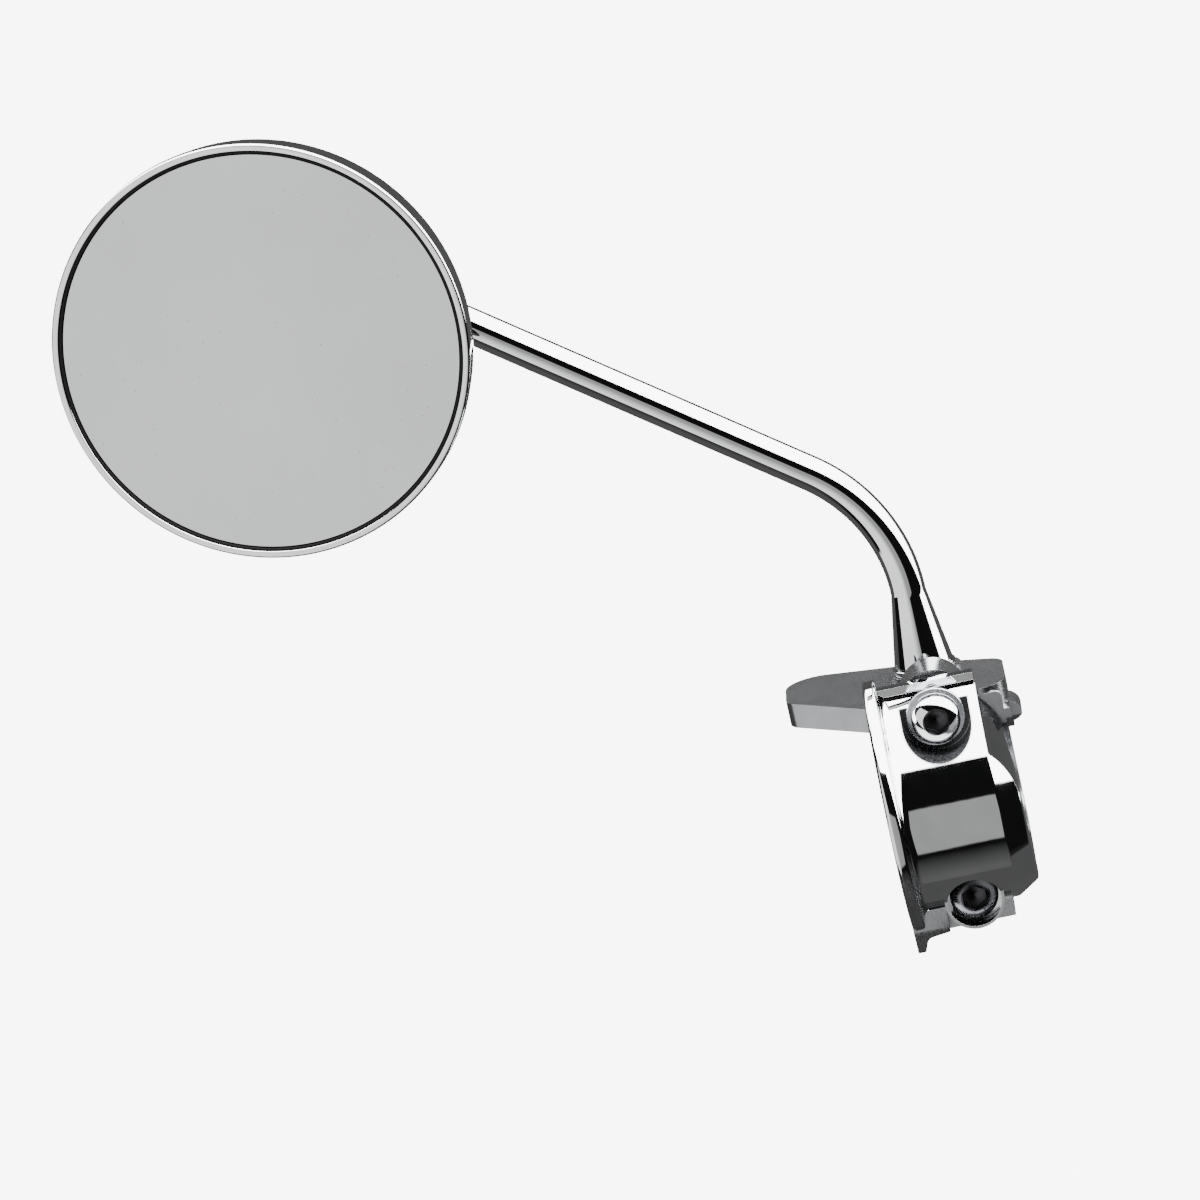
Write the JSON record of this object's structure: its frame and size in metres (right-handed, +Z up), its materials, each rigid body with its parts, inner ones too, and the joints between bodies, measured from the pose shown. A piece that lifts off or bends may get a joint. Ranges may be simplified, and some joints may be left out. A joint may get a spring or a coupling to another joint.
{
  "type": "handlebar mirror",
  "caption": "Round chromed mirror on a ball joint, a bent rod stem with a flared foot, and a two-half clamp for a handlebar.",
  "frame": {"origin": "on the handlebar's axis, at the middle of the clamp's width", "axes": "+X along the bar towards the middle of the bike, +Y forwards, away from the rider, +Z up along the stem's foot"},
  "size_m": [0.187, 0.0681, 0.2073],
  "materials": {
    "bright_chrome": "polished chrome plate",
    "zinc_steel": "bright zinc plate",
    "dark_steel": "dark oiled steel",
    "nylon": "moulded nylon",
    "pad_foam": "closed-cell foam",
    "black_rubber": "matte rubber",
    "silvered_glass": "silvered flat glass"
  },
  "bodies": {
    "root": {"clamp_front": "bright_chrome", "clamp_rear": "bright_chrome", "clamp_screw_upper": "bright_chrome", "clamp_screw_lower": "dark_steel", "clamp_washer": "zinc_steel"},
    "stem_arm": {"stem": "bright_chrome", "foot_stud": "zinc_steel", "foot_seat_washer": "bright_chrome", "foot_flat_washer": "zinc_steel", "foot_lock_washer": "zinc_steel", "foot_cap_nut": "bright_chrome", "ball_stud": "bright_chrome", "ball_stud_washer": "zinc_steel", "ball_stud_nut": "bright_chrome"},
    "joint_ring": {"ball_liner": "nylon"},
    "head": {"socket_housing": "bright_chrome", "socket_retainer": "zinc_steel", "socket_screws": "zinc_steel", "socket_ring_nut": "bright_chrome", "head_shell": "bright_chrome", "backing_plate": "zinc_steel", "backing_pad": "pad_foam", "glass_gasket": "black_rubber", "mirror_glass": "silvered_glass", "bezel_ring": "bright_chrome"}
  },
  "joints": [
    {"name": "stem_swivel", "type": "hinge", "parent": "root", "child": "stem_arm", "pos_m": [-0.001, 0.0225, 0.0226], "axis": [0, 0, 1], "continuous": true},
    {"name": "head_pan", "type": "hinge", "parent": "stem_arm", "child": "joint_ring", "pos_m": [-0.12115, 0.00373, 0.13016], "axis": [0, 0, 1], "range_deg": [-18, 18]},
    {"name": "head_tilt", "type": "hinge", "parent": "joint_ring", "child": "head", "pos_m": [-0.12115, 0.00373, 0.13016], "axis": [0.9877, -0.1564, 0], "range_deg": [-18, 18]}
  ]
}
